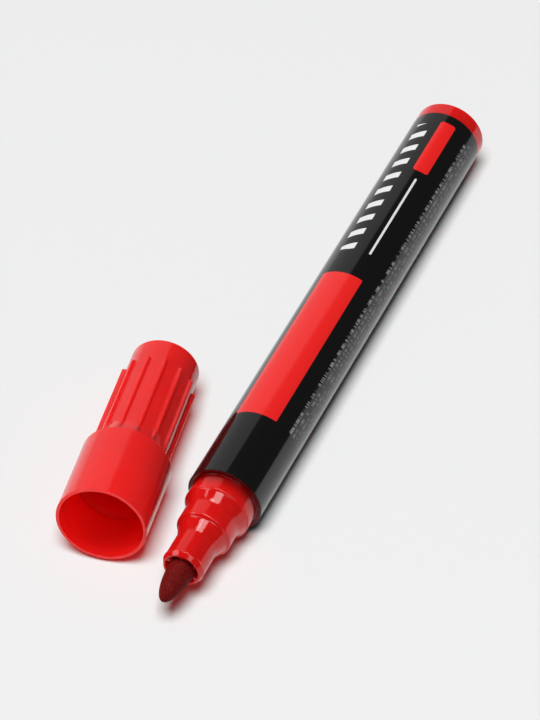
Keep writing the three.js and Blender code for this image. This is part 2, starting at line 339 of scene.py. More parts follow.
@dataclass(frozen=True)
class MouldedPlastic:
    """A glossy or satin moulding: slight waves, faint flow streaks and fine hair scratches.

    A band holds the values of a noise between which it takes effect. Dulling is what grain, flow
    and scratches add to the roughness. A piece may lay painted light over the plastic's colour:
    painted shade on the nozzle and painted light on the cap.
    """

    name: str
    colour: Colour
    deep: Colour
    roughness: float = 0.2
    # Painted light and shade: a colour laid over the plastic's own wherever a piece's mask asks for it.
    painted_light_and_shade: Colour | None = None
    milky: float = 0.0
    depth: float = 2.5
    reach: Triple = (1.0, 0.06, 0.05)
    gloss: float = 0.5
    refraction: float = 1.49
    dulling: Triple = (0.05, 0.04, 0.08)
    wave: float = 0.004
    wave_scale: float = 160.0
    wave_stretch: Triple = (0.35, 1.0, 1.0)
    wave_turn: Triple = (0.0, 0.0, 0.2)
    deep_band: Pair = (0.25, 0.8)
    grain: float = 0.0012
    grain_scale: float = 2600.0
    scratch_depth: float = 2.0
    scratch_stretch: Triple = (30.0, 2400.0, 700.0)
    scratch_lean: float = 0.3
    scratch_turns: Pair = (0.5, -0.9)
    scratch_width: float = 0.012
    scratched_scale: float = 420.0
    scratched_band: Pair = (0.52, 0.72)

    def material(self, shade: Callable[[Recipe], Signal] | None = None) -> Material:
        """The plastic's material.

        Light goes in by its milky share and to its depth in millimetres.

        Args:
            shade: Works out how far a point has the painted light colour, from 0 to 1.

        Returns:
            The material.
        """
        recipe = Recipe(self.name)
        drawn = recipe.stretched(self.wave_stretch, self.wave_turn)
        flow = recipe.noise(drawn, self.wave_scale, 3.0, 0.5)
        grain = recipe.grain(self.grain_scale, 2.0, 0.6)
        scratches = self._scratches(recipe)
        colour = recipe.mix(flow.ramp(*self.deep_band), self.colour, self.deep)
        # Painted light and shade laid over the plastic's colour by the piece's mask.
        if shade is not None:
            colour = recipe.mix(shade(recipe), colour, self.painted_light_and_shade)
        by_grain, by_flow, by_scratch = self.dulling
        dulled = (grain - 0.5) * by_grain + (flow - 0.5) * by_flow + scratches * by_scratch
        relief = grain - scratches * self.scratch_depth
        return recipe.finish(
            Base_Color=colour,
            Roughness=self.roughness + dulled,
            IOR=self.refraction,
            Normal=recipe.bump(relief, self.grain, recipe.bump(flow, self.wave)),
            Specular_IOR_Level=self.gloss,
            Subsurface_Weight=self.milky,
            Subsurface_Radius=self.reach,
            Subsurface_Scale=self.depth * MM,
        )

    def _scratches(self, recipe: Recipe) -> Signal:
        """Hair lines: the crests of two long, narrow noises that lie across each other.

        Args:
            recipe: The nodes of the plastic.

        Returns:
            How much a point is scratched.
        """
        lines = []
        for turn in self.scratch_turns:
            vector = recipe.stretched(self.scratch_stretch, (0.0, self.scratch_lean, turn))
            crest = abs(recipe.noise(vector, 1.0, 1.0, 0.5) - 0.5)
            lines.append(crest.ramp(self.scratch_width, 0.0))
        scratched = recipe.grain(self.scratched_scale, 1.0, 0.5)
        return (lines[0] + lines[1]) * scratched.ramp(*self.scratched_band)


@dataclass(frozen=True)
class BondedFibre:
    """Pressed fibre soaked with ink: fine strands along the axis, darker gaps and pale fibre ends.

    A band holds the values of a noise between which it takes effect.
    """

    name: str
    strand: Colour
    gap: Colour
    strand_scale: float = 5200.0
    strand_length: float = 0.12
    strand_band: Pair = (0.36, 0.66)
    patch_scale: float = 700.0
    patch_length: float = 0.6
    patch_shade: Pair = (0.55, 0.9)
    depth: float = 0.05
    roughness: float = 0.62
    wet: float = 0.25
    wet_band: Pair = (0.6, 0.75)
    sheen: float = 0.25
    sheen_roughness: float = 0.4
    gloss: float = 0.5
    speck: Colour = (0.42, 0.20, 0.17, 1.0)
    specks: float = 0.0
    speck_scale: float = 8000.0
    speck_length: float = 0.7
    speck_band: Pair = (0.66, 0.74)

    def material(self) -> Material:
        """The fibre's material.

        Returns:
            The material, with strands, patches and the dark ends of fibres.
        """
        recipe = Recipe(self.name)
        strands = recipe.grain(self.strand_scale, 3.0, 0.65, self.strand_length)
        patches = recipe.grain(self.patch_scale, 2.0, 0.5, self.patch_length)
        ends = recipe.grain(self.speck_scale, 1.0, 0.5, self.speck_length)
        dark, pale = self.patch_shade
        shade = strands.ramp(*self.strand_band) * (dark + patches * pale)
        fibre = recipe.mix(shade.at_most(1.0), self.gap, self.strand)
        return recipe.finish(
            Base_Color=recipe.mix(ends.ramp(*self.speck_band) * self.specks, fibre, self.speck),
            Specular_IOR_Level=self.gloss,
            Roughness=self.roughness - strands.ramp(*self.wet_band) * self.wet,
            Sheen_Weight=self.sheen,
            Sheen_Roughness=self.sheen_roughness,
            Sheen_Tint=self.strand,
            Normal=recipe.bump(strands, self.depth, recipe.bump(patches, self.depth)),
        )


@dataclass(frozen=True)
class RolledSkin:
    """A thin milky plastic skin with fine creases along its axis and stains of ink."""

    name: str
    colour: Colour
    stain: Colour
    roughness: float = 0.28
    stain_scale: float = 130.0
    stain_length: float = 0.4
    stain_band: Pair = (0.35, 0.7)
    crease_scale: float = 900.0
    crease_length: float = 0.03
    crease_band: Pair = (0.4, 0.7)
    crease_dulling: float = 0.2
    crease_depth: float = 0.03

    def material(self) -> Material:
        """The skin's material.

        Returns:
            The material, with creases and stains along the rod.
        """
        recipe = Recipe(self.name)
        creases = recipe.grain(self.crease_scale, 3.0, 0.6, self.crease_length)
        stains = recipe.grain(self.stain_scale, 3.0, 0.6, self.stain_length)
        return recipe.finish(
            Base_Color=recipe.mix(stains.ramp(*self.stain_band), self.colour, self.stain),
            Roughness=self.roughness + creases.ramp(*self.crease_band) * self.crease_dulling,
            Normal=recipe.bump(creases, self.crease_depth),
        )


@dataclass(frozen=True)
class Patch:
    """A printed patch: its stations in millimetres, its angles round the film and its rounding."""

    first: float
    last: float
    low: float
    high: float
    rounding: float = 0.03


@dataclass(frozen=True)
class PrintRow:
    """A row of fine broken lines: its middle angle, its last station and its ink's strength."""

    angle: float
    last: float
    strength: float


@dataclass(frozen=True)
class PrintedFilm:
    """Glossy black film printed with red panels, a hatched band, a rule and rows of fine lines."""

    name: str
    front: Triple
    radius: float
    panel: Patch = Patch(15.5, 55.4, 63.0, 131.0, 0.25)
    label: Patch = Patch(87.5, 102.8, 63.0, 88.5, 0.6)
    hatch: Patch = Patch(62.2, 101.5, 102.0, 126.5)
    rule: Patch = Patch(62.1, 85.3, 73.0, 76.5, 0.2)
    hatch_pitch: float = 4.37
    hatch_duty: float = 0.40
    hatch_slant: float = 0.35
    hatch_edge: float = 0.008
    row_first: float = 15.8
    row_height: float = 0.62
    row_shift: float = 37.0
    dash: float = 0.24
    dash_odds: Pair = (0.2, 0.75)
    letter: float = 0.48
    letter_odds: Pair = (0.17, 0.19)
    edge: float = 0.03
    rows: tuple[PrintRow, ...] = (
        PrintRow(35.0, 101.0, 0.30),
        PrintRow(26.5, 102.5, 0.16),
        PrintRow(18.5, 102.5, 0.13),
        PrintRow(10.5, 96.0, 0.10),
        PrintRow(2.5, 102.5, 0.08),
        PrintRow(-5.5, 88.0, 0.08),
    )
    roughness: float = 0.10
    refraction: float = 1.5
    ink_depth: float = 0.004
    wave: float = 0.006
    wave_scale: float = 90.0
    grain: float = 0.0006
    grain_scale: float = 3000.0
    dulling: Triple = (0.06, 0.04, 0.03)

    def material(self) -> Material:
        """The film's material, with what ink, grain and waves add to its roughness.

        Returns:
            The material.
        """
        recipe = Recipe(self.name)
        x, y, z = recipe.place()
        station = (x - self.front[0]) * (1 / MM)
        turn = (z - self.front[2]).math("ARCTAN2", z - self.front[2], (y - self.front[1]) * -1.0)
        arc = turn * self.radius
        red = self._patch(station, arc, self.panel).at_least(self._patch(station, arc, self.label))
        white = self._hatching(station, arc).at_least(self._patch(station, arc, self.rule))
        fine = self._rows(recipe, station, arc)
        wave = recipe.grain(self.wave_scale, 2.0, 0.5)
        grain = recipe.grain(self.grain_scale, 2.0, 0.6)
        printed = recipe.mix(red, Ink.BLACK.value, Ink.RED.value)
        printed = recipe.mix(white.at_least(fine), printed, Ink.WHITE.value)
        inked = red.at_least(white)
        by_ink, by_grain, by_wave = self.dulling
        relief = recipe.bump(inked, self.ink_depth, recipe.bump(wave, self.wave))
        return recipe.finish(
            Base_Color=printed,
            Roughness=self.roughness + inked * by_ink + (grain - 0.5) * by_grain + (wave - 0.5) * by_wave,
            IOR=self.refraction,
            Normal=recipe.bump(grain, self.grain, relief),
        )

    def _arc(self, angle: float) -> float:
        """The distance round the film at an angle in degrees, in millimetres."""
        return math.radians(angle) * self.radius

    def _patch(self, station: Signal, arc: Signal, patch: Patch) -> Signal:
        """How far a point lies in a patch.

        Past the edges of a box that is smaller by the rounding, the distance to that box less the
        rounding is the distance to the rounded edge.

        Args:
            station: The point's station.
            arc: Its distance round the film.
            patch: The patch.

        Returns:
            1 inside and 0 outside, with a soft edge between.
        """
        along = self._past(station, patch.first, patch.last, patch.rounding)
        across = self._past(arc, self._arc(patch.low), self._arc(patch.high), patch.rounding)
        beyond = (along * along + across * across).root() - patch.rounding
        return beyond.ramp(self.edge, -self.edge)

    @staticmethod
    def _past(place: Signal, low: float, high: float, margin: float) -> Signal:
        """How far a place lies past a stretch that is shorter by a margin at both ends, or 0."""
        return (abs(place - (low + high) / 2) - ((high - low) / 2 - margin)).at_least(0.0)

    def _hatching(self, station: Signal, arc: Signal) -> Signal:
        """Slanted bars of even pitch, kept inside their patch.

        Args:
            station: Millimetres behind the film's front.
            arc: Millimetres round the film.

        Returns:
            1 on the bars and 0 beside them.
        """
        phase = ((station + arc * self.hatch_slant) / self.hatch_pitch).fraction()
        half = self.hatch_duty / 2
        bars = abs(phase - 0.5).ramp(half + self.hatch_edge, half - self.hatch_edge)
        return bars * self._patch(station, arc, self.hatch)

    def _rows(self, recipe: Recipe, station: Signal, arc: Signal) -> Signal:
        """Rows of fine slanted strokes, each inked by chance, with bare places of a letter's width.

        Args:
            recipe: The nodes of the film.
            station: Millimetres behind the film's front.
            arc: Millimetres round the film.

        Returns:
            How much ink lies on a point.
        """
        half = math.degrees(self.row_height / 2 / self.radius)
        total = None
        for number, row in enumerate(self.rows):
            line = Patch(self.row_first, row.last, row.angle - half, row.angle + half)
            slanted = station + arc * self.hatch_slant + number * self.row_shift
            strokes = recipe.chance((slanted / self.dash).floor()).ramp(*self.dash_odds)
            letters = recipe.chance((slanted / self.letter).floor() + 0.5).ramp(*self.letter_odds)
            inked = self._patch(station, arc, line) * (strokes * letters * row.strength)
            total = inked if total is None else total.at_least(inked)
        return total


@dataclass(frozen=True)
class StudioFloor:
    """Pale matt paper with a very fine tooth."""

    name: str = "pale_paper"
    level: float = 0.5
    darker: float = 0.99
    tooth_scale: float = 1500.0
    roughness: float = 0.9
    gloss: float = 0.1

    def material(self) -> Material:
        """The paper's material.

        Returns:
            The material.
        """
        recipe = Recipe(self.name)
        tooth = recipe.grain(self.tooth_scale, 2.0, 0.5)
        return recipe.finish(
            Base_Color=recipe.mix(tooth, grey(self.level), grey(self.level * self.darker)),
            Roughness=self.roughness,
            Specular_IOR_Level=self.gloss,
        )


@dataclass(frozen=True)
class Corner:
    """A corner of an outline: its station, its radius from the axis and its rounding."""

    station: float
    radius: float
    rounding: float = 0.0


def rounded_outline(corners: Sequence[Corner], closed: bool, spacing: float = 2.5) -> np.ndarray:
    """Works out the points of an outline.

    A rounding is an arc that touches both edges of its corner, at the rounding over the tangent
    of half the corner's angle. A straight stretch has a point close to each of its ends, which
    keeps its shading flat, and others at an even spacing.

    Args:
        corners: The corners in their order.
        closed: Whether the last corner goes on to the first.
        spacing: The longest step of a straight stretch.

    Returns:
        One row for each point, with its station and its radius.
    """
    places = np.array([(corner.station, corner.radius) for corner in corners])
    arcs = []
    for number, corner in enumerate(corners):
        here = places[number]
        at_end = not closed and number in (0, len(corners) - 1)
        if corner.rounding == 0 or at_end:
            arcs.append(here[None])
            continue
        back = places[number - 1] - here
        ahead = places[(number + 1) % len(corners)] - here
        room = ROOM * min(np.linalg.norm(back), np.linalg.norm(ahead))
        back, ahead = back / np.linalg.norm(back), ahead / np.linalg.norm(ahead)
        half = 0.5 * math.acos(np.clip(back @ ahead, -1.0, 1.0))
        reach = min(corner.rounding / math.tan(half), room)
        radius = reach * math.tan(half)
        middle = (back + ahead) / np.linalg.norm(back + ahead)
        centre = here + middle * radius / math.sin(half)
        sweep = math.pi - 2 * half
        steps = max(3, math.ceil(sweep / ARC_STEP))
        turn = np.linspace(-sweep / 2, sweep / 2, steps + 1)[:, None]
        sideways = (ahead - back) / np.linalg.norm(ahead - back)
        arcs.append(centre - radius * (np.cos(turn) * middle - np.sin(turn) * sideways))
    return join_straights(arcs, closed, spacing)


def join_straights(
    arcs: Sequence[np.ndarray], closed: bool, spacing: float, hold: float = 0.05
) -> np.ndarray:
    """Joins the arcs of an outline by straight stretches.

    Args:
        arcs: The points of each arc.
        closed: Whether the last arc goes on to the first.
        spacing: The longest step of a straight stretch.
        hold: How far the first and last points of a stretch lie from its ends.

    Returns:
        All the points in their order.
    """
    points = []
    for number, arc in enumerate(arcs):
        points.append(arc)
        if number + 1 == len(arcs) and not closed:
            continue
        start, end = arc[-1], arcs[(number + 1) % len(arcs)][0]
        length = np.linalg.norm(end - start)
        if length > 4 * hold:
            inner = np.linspace(hold, length - hold, max(2, math.ceil(length / spacing) + 1))
            points.append(start + (end - start) * (inner / length)[:, None])
    return np.concatenate(points)


@dataclass(frozen=True)
class Axis:
    """The line that a turned piece is made round: a start, its direction and what is up across it."""

    start: Vector
    along: Vector
    up: Vector

    def points(self, station: np.ndarray, radius: np.ndarray, angle: np.ndarray) -> np.ndarray:
        """Places points round the axis.

        A point is the start, plus its station along the axis, plus its radius at its angle, which
        runs from the right-hand side, at 0, over the top, at a quarter turn.

        Args:
            station: Stations in millimetres.
            radius: Distances from the axis in millimetres.
            angle: Angles in radians.

        Returns:
            The points in metres, with a last dimension of three.
        """
        along, up = np.array(self.along), np.array(self.up)
        right = np.cross(along, up)
        station, radius, angle = np.broadcast_arrays(station, radius, angle)
        across = np.cos(angle)[..., None] * right + np.sin(angle)[..., None] * up
        return np.array(self.start) + MM * (station[..., None] * along + radius[..., None] * across)


def even_turn(steps: int) -> np.ndarray:
    """Even angles for a whole turn."""
    return np.arange(steps) * (math.tau / steps)


def clustered_turn(count: int, offsets: Sequence[float], first: float = 0.0) -> np.ndarray:
    """Angles of a whole turn that gather where a repeated feature has its flanks.

    Args:
        count: How often the feature repeats.
        offsets: Angles from the feature's middle to half its pitch, in radians.
        first: The angle of the first feature's middle.

    Returns:
        The angles, growing.
    """
    side = np.array(offsets)
    both = np.concatenate([-side[:0:-1], side])
    both = both[both > -math.pi / count + 1e-6]
    middles = first + np.arange(count) * (math.tau / count)
    return (middles[:, None] + both).ravel()


def ease(share: np.ndarray) -> np.ndarray:
    """Goes smoothly from 0 to 1 as the share does: three of its squares less two of its cubes."""
    share = np.clip(share, 0.0, 1.0)
    return share * share * (3 - 2 * share)


def add_object(name: str, data: bpy.types.ID) -> Object:
    """A new object of the scene that shows this data.

    Args:
        name: The object's name.
        data: Its mesh, light or camera.

    Returns:
        The object.
    """
    item = bpy.data.objects.new(name, data)
    bpy.context.scene.collection.objects.link(item)
    return item


def build_mesh(name: str, points: np.ndarray, quads: np.ndarray, fans: Sequence[np.ndarray]) -> Object:
    """Puts points and faces into a mesh object.

    The volume is a sixth of the sum of each triangle's first corner times the cross product of
    the others, so its sign says which way the faces point.

    Args:
        name: The object's name.
        points: All the points.
        quads: The corners of the four-sided faces.
        fans: The corners of the triangles round each pole.

    Returns:
        The new object.
    """
    triangles = np.concatenate([quads[:, :3], quads[:, [0, 2, 3]], *fans])
    first, second, third = (points[triangles[:, corner]] for corner in range(3))
    normals = np.cross(second - first, third - first)
    volume = np.einsum("ij,ij->i", first - points.mean(0), normals).sum() / 6
    faces = [quads, *fans]
    if volume < 0:
        faces = [face[:, ::-1] for face in faces]
    used = np.unique(np.concatenate([face.ravel() for face in faces]))
    faces = [np.searchsorted(used, face) for face in faces]
    mesh = bpy.data.meshes.new(name)
    mesh.from_pydata(points[used].tolist(), [], [corners for face in faces for corners in face.tolist()])
    mesh.shade_smooth()
    mesh.set_sharp_from_angle(angle=SHARP)
    mesh.update()
    return add_object(name, mesh)


@dataclass(frozen=True)
class SnapRing:
    """The low ring on a spigot that snaps into the barrel, and its way in from the barrel's rim."""

    station: float = 4.5
    height: float = 0.17
    width: float = 1.14

    def corners(self, middle: float, radius: float) -> list[Corner]:
        """The ring's outline about that station, on a spigot of that radius."""
        foot, top = self.width / 2, self.width / 6
        return [
            Corner(middle - foot, radius, SOFT),
            Corner(middle - top, radius + self.height, SOFT),
            Corner(middle + top, radius + self.height, SOFT),
            Corner(middle + foot, radius, SOFT),
        ]


@dataclass(frozen=True)
class Gate:
    """The dimple that the mould's gate leaves in an end face."""

    radius: float = 1.5
    depth: float = 0.3

    def corners(self, end: float) -> list[Corner]:
        """The dimple's outline in an end face at that station, from its rim to the axis."""
        return [
            Corner(end, self.radius, CRISP),
            Corner(end - self.depth, self.radius - self.depth, SOFT),
            Corner(end - self.depth, 0.0),
        ]


@dataclass
class Piece(ABC):
    """A piece whose outline sweeps round an axis, and which stands for a node."""

    name: ClassVar[str]
    node: ClassVar[str]
    slot: ClassVar[Slot]
    body: ClassVar[Body] = Body.MARKER
    closed: ClassVar[bool] = False
    spacing: ClassVar[float] = 2.5
    plastic: ClassVar[MouldedPlastic]

    axis: Axis
    steps: int = 192

    @abstractmethod
    def corners(self) -> list[Corner]:
        """The corners of the outline."""

    def outline(self) -> np.ndarray:
        """The points of the outline, with a station and a radius in each row."""
        return rounded_outline(self.corners(), self.closed, self.spacing)

    def angles(self) -> np.ndarray:
        """The angles of the grid, growing, less than a whole turn."""
        return even_turn(self.steps)

    def relief(self, station: np.ndarray, radius: np.ndarray, angle: np.ndarray) -> np.ndarray:
        """The radii of the grid, which a plain turned piece takes from its outline."""
        return radius

    def finish(self) -> Material:
        """The piece's material, which is its plain plastic unless it has another."""
        return self.plastic.material()

    def mesh(self) -> Object:
        """Builds the surface that the outline sweeps round the axis.

        The surface is a grid of the outline's points by the angles. A closed outline makes a ring,
        and an open one starts and ends on the axis, where its first or last row shrinks to one point.

        Returns:
            The new object, closed, with its faces pointing outwards.
        """
        outline, angle = self.outline(), self.angles()[None]
        shape = (len(outline), angle.size)
        station, radius = (np.broadcast_to(column[:, None], shape) for column in outline.T)
        radius = self.relief(station, radius, angle)
        points = self.axis.points(station, radius, angle).reshape(-1, 3)
        index = np.arange(radius.size).reshape(shape)
        if self.closed:
            low, high = index, np.roll(index, -1, 0)
            fans = []
        else:
            low, high = index[1:-2], index[2:-1]
            ends = ((index[0, 0], index[1]), (index[-1, 0], index[-2][::-1]))
            fans = [np.stack([np.full_like(ring, pole), np.roll(ring, -1), ring], -1) for pole, ring in ends]
        quads = np.stack([low, high, np.roll(high, -1, 1), np.roll(low, -1, 1)], -1).reshape(-1, 4)
        return build_mesh(self.name, points, quads, fans)

    def build(self) -> Object:
        """Builds the piece, dresses it and lets it stand for its node.

        Returns:
            The new object.
        """
        piece = self.mesh()
        piece.data.materials.append(self.finish())
        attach(piece, self.body.value)
        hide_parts(self.node)
        LOG.info("%s: %d faces", piece.name, len(piece.data.polygons))
        return piece


@dataclass
class Film(Piece):
    """The printed film round the barrel."""

    name = "printed_film"
    node = "barrel_film"
    slot = Slot.FILM
    closed = True

    steps: int = 256
    radius: float = 7.0
    thickness: float = 0.15
    length: float = 105.0
    edge: float = 0.015

    def corners(self) -> list[Corner]:
        """A thin ring from the barrel's front rim to its tail."""
        bore = self.radius - self.thickness
        return [
            Corner(0.0, bore),
            Corner(0.0, self.radius, self.edge),
            Corner(self.length, self.radius, self.edge),
            Corner(self.length, bore),
        ]

    def finish(self) -> Material:
        """The print, laid out round the film's own radius."""
        return PrintedFilm("black_printed_film", tuple(self.axis.start), self.radius).material()


@dataclass(frozen=True)
class Inside:
    """The pieces that keep their solids: the barrel's tube, the fibre rod in it and the rod's skin."""

    tube: MouldedPlastic = MouldedPlastic(
        "black_tube", (0.018, 0.016, 0.016, 1.0), (0.011, 0.010, 0.010, 1.0), roughness=0.38
    )
    rod: BondedFibre = BondedFibre(
        "spun_ink_fibre",
        (0.36, 0.02, 0.018, 1.0),
        (0.12, 0.004, 0.004, 1.0),
        strand_scale=2600.0,
        strand_length=0.05,
        depth=0.08,
        roughness=0.9,
        sheen=0.4,
    )
    skin: RolledSkin = RolledSkin("rolled_skin", (0.74, 0.68, 0.66, 1.0), (0.7, 0.42, 0.4, 1.0))

    def build(self, nodes: dict[str, Object]) -> None:
        """Gives each node its finish.

        Args:
            nodes: The nodes' objects by name.
        """
        kept = {"barrel": self.tube, "ink_reservoir": self.rod, "reservoir_wrap": self.skin}
        for name, finish in kept.items():
            materials = nodes[name].data.materials
            materials.clear()
            materials.append(finish.material())
            LOG.info("%s: finished as %s", name, finish.name)


@dataclass
class Nozzle(Piece):
    """The stepped front moulding, with teeth in its mouth that grip the nib."""

    name = "stepped_nozzle"
    node = "nozzle"
    slot = Slot.NOZZLE
    closed = True

    plastic = MouldedPlastic(
        "red_nozzle_moulding_painted_shade",
        (0.71, 0.008, 0.007, 1.0),
        (0.68, 0.007, 0.006, 1.0),
        roughness=0.045,
        # Painted shade: a dark red laid on the nozzle towards the barrel.
        painted_light_and_shade=(0.20, 0.001, 0.001, 1.0),
        milky=0.8,
    )
    # Stations where the painted shade towards the barrel starts and where it is full.
    painted_shade_full_at: float = -0.2
    painted_shade_starts_at: float = -3.0
    flange_thickness: float = 0.12
    flange_fillet: float = 0.1
    flange_radius: float = 6.84
    flange_edge: float = 0.015
    collar_radius: float = 6.12
    collar_reach: float = 3.5
    collar_edge: float = 0.7
    collar_run: float = 0.15
    collar_drop: float = 0.24
    collar_fillet: float = 0.5
    neck_radius: float = 5.1
    neck_start: float = 5.6
    neck_reach: float = 9.1
    neck_edge: float = 0.7
    neck_run: float = 0.25
    neck_drop: float = 0.48
    taper_blend: float = 2.5
    snout_radius: float = 3.78
    snout_start: float = 11.9
    snout_reach: float = 18.2
    lip_height: float = 0.09
    lip_width: float = 0.15
    lip_fillet: float = 0.2
    rim_radius: float = 3.42
    rim_chamfer: float = 0.9
    rim_edge: float = 0.15
    bore_radius: float = 3.0
    bore_length: float = 12.5
    bore_edge: float = 0.12
    bore_end: float = 0.3
    tooth_count: int = 6
    tooth_width: float = 1.0
    tooth_tip_width: float = 0.4
    tooth_tip_radius: float = 2.5
    tooth_setback: float = 0.15
    tooth_edge: float = 0.06
    tooth_angles: tuple[float, ...] = (
        0, 1.9, 3.0, 3.8, 4.8, 6.0, 7.2, 8.4, 9.2, 9.8, 10.8, 13, 16, 19, 22, 25, 28, 30,
    )
    spigot_radius: float = 5.76
    spigot_bore: float = 4.79
    spigot_length: float = 8.0
    spigot_chamfer: float = 0.4
    snap: SnapRing = SnapRing()

    def corners(self) -> list[Corner]:
        """The outline from the inside of the mouth out over the steps to the spigot and back.

        Returns:
            The corners in that order.
        """
        mouth = -self.snout_reach
        lip = mouth + self.rim_chamfer
        lip_top = self.snout_radius + self.lip_height
        bore_end = mouth + self.bore_length
        neck_foot = -self.neck_reach - self.neck_run
        collar_foot = -self.collar_reach - self.collar_run
        return [
            Corner(mouth + self.tooth_setback, self.bore_radius, self.tooth_edge),
            Corner(mouth, self.bore_radius + self.tooth_setback, self.bore_edge),
            Corner(mouth, self.rim_radius, self.rim_edge),
            Corner(lip, lip_top, self.rim_edge),
            Corner(lip + self.lip_width, lip_top, self.lip_fillet),
            Corner(lip + self.lip_width + 2 * self.lip_height, self.snout_radius, self.lip_fillet),
            Corner(-self.snout_start, self.snout_radius, self.taper_blend),
            Corner(neck_foot, self.neck_radius - self.neck_drop, self.neck_edge),
            Corner(-self.neck_reach, self.neck_radius, self.neck_edge),
            Corner(-self.neck_start, self.neck_radius, self.taper_blend),
            Corner(collar_foot, self.collar_radius - self.collar_drop, self.collar_fillet),
            Corner(-self.collar_reach, self.collar_radius, self.collar_edge),
            Corner(-self.flange_thickness, self.collar_radius, self.flange_fillet),
            Corner(-self.flange_thickness, self.flange_radius, self.flange_edge),
            Corner(0.0, self.flange_radius, CRISP),
            Corner(0.0, self.spigot_radius, SOFT),
            *self.snap.corners(self.snap.station, self.spigot_radius),
            Corner(self.spigot_length - self.spigot_chamfer, self.spigot_radius, SOFT),
            Corner(self.spigot_length, self.spigot_radius - self.spigot_chamfer, SOFT),
            Corner(self.spigot_length, self.spigot_bore, SOFT),
            Corner(bore_end + self.spigot_bore - self.bore_radius, self.spigot_bore, self.bore_end),
            Corner(bore_end, self.bore_radius, CRISP),
        ]

    def angles(self) -> np.ndarray:
        """Angles that gather at the flanks of the teeth."""
        return clustered_turn(self.tooth_count, np.radians(self.tooth_angles), math.pi / self.tooth_count)

    def relief(self, station: np.ndarray, radius: np.ndarray, angle: np.ndarray) -> np.ndarray:
        """Lets the bore's wall stand in to the teeth.

        Within the bore, the radius falls from the bore's to the tooth tip's as the distance from
        a tooth's middle falls from half its root width to half its tip's. A tooth stands upright
        over the axis, and the others follow at even steps.

        Args:
            station: Stations of the grid.
            radius: Radii of the outline.
            angle: Angles of the grid.

        Returns:
            The new radii.
        """
        pitch = math.tau / self.tooth_count
        across = np.abs(self.bore_radius * np.sin(angle % pitch - pitch / 2))
        flank = (self.tooth_width - self.tooth_tip_width) / 2
        rise = np.clip((self.tooth_width / 2 - across) / flank, 0.0, 1.0)
        start = -self.snout_reach + self.tooth_setback
        end = -self.snout_reach + self.bore_length
        run = ease((station - start) / self.tooth_edge) * ease((end - station) / self.tooth_edge)
        inside = radius < self.bore_radius + TOUCH
        return np.where(inside, radius - (self.bore_radius - self.tooth_tip_radius) * rise * run, radius)

    def finish(self) -> Material:
        """The red plastic, with painted shade near the barrel."""
        return self.plastic.material(self.shade)

    def shade(self, recipe: Recipe) -> Signal:
        """How far painted shade darkens the red by the barrel, for light lost into the black tube behind."""
        station, _ = recipe.place_round(self.axis)
        return station.ramp(self.painted_shade_starts_at, self.painted_shade_full_at)


@dataclass
class Nib(Piece):
    """The bonded fibre nib, a rod with a bullet point.

    Each of its waves has a count round the rod, a phase and a bend along it.
    """

    name = "fibre_nib"
    node = "nib"
    slot = Slot.NIB
    spacing = 0.5

    fibre = BondedFibre(
        "inked_nib_fibre",
        (0.190, 0.0050, 0.0045, 1.0),
        (0.110, 0.0030, 0.0030, 1.0),
        strand_length=0.4,
        sheen=0.0,
        gloss=0.06,
        specks=0.4,
    )
    steps: int = 128
    radius: float = 2.4
    point: float = -25.9
    point_steps: int = 40
    ogive: float = 8.5
    tail: float = 14.3
    tail_chamfer: float = 0.6
    fuzz: float = 0.012
    waves: tuple[Triple, ...] = ((17, 0.3, 1.2), (29, 1.9, 1.7), (43, 4.1, 0.8), (61, 2.2, 1.4))
    wave_bend: float = 0.9

    def corners(self) -> list[Corner]:
        """The rod, from the widest place of its point to its chamfered tail."""
        return [
            Corner(self.point + self.ogive, self.radius),
            Corner(self.tail - self.tail_chamfer, self.radius, SOFT),
            Corner(self.tail, self.radius - self.tail_chamfer, SOFT),
            Corner(self.tail, 0.0),
        ]

    def outline(self) -> np.ndarray:
        """A quarter of an ellipse for the point, then the rod.

        Returns:
            Stations and radii in rows.
        """
        turn = np.linspace(0.0, math.pi / 2, self.point_steps)
        point = np.stack([self.point + self.ogive * (1 - np.cos(turn)), self.radius * np.sin(turn)], 1)
        return np.concatenate([point, super().outline()[1:]])

    def relief(self, station: np.ndarray, radius: np.ndarray, angle: np.ndarray) -> np.ndarray:
        """Roughens the rod by the sum of its waves, less near the axis."""
        wave = sum(
            np.sin(count * angle + phase + bend * np.sin(station * self.wave_bend + phase))
            for count, phase, bend in self.waves
        )
        return radius + self.fuzz / len(self.waves) * wave * ease(radius / self.radius)

    def finish(self) -> Material:
        """The inked fibre."""
        return self.fibre.material()


